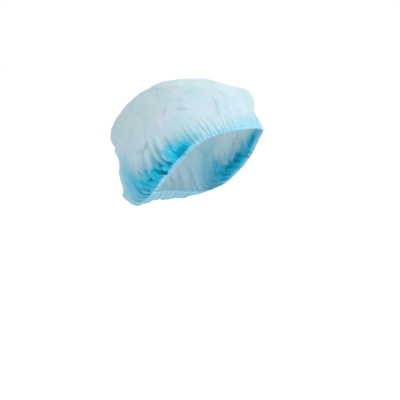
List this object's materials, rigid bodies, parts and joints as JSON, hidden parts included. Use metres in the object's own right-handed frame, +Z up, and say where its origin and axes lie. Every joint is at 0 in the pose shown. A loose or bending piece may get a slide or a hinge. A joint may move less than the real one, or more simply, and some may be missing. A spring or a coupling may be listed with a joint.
{
  "type": "disposable hairnet",
  "caption": "Thin bouffant hair cap in its worn shape: a puffed non-woven crown, a hem drawn into gathers and a narrow elastic edging round the face, ears and nape.",
  "frame": {"origin": "middle of the head opening, in the plane of the elastic edging", "axes": "+Z up, -Y towards the wearer's forehead, +X towards the wearer's left ear"},
  "size_m": [0.1802, 0.2287, 0.1902],
  "materials": {
    "crown_cloth": "pale blue spunbond polypropylene, thermally bonded",
    "hem_cloth": "the same spunbond folded double and gathered, so deeper blue",
    "elastic": "narrow woven elastic inside the folded edge"
  },
  "bodies": {
    "root": {"crown": "crown_cloth", "gathered_hem": "hem_cloth", "elastic_edging": "elastic"}
  },
  "joints": []
}
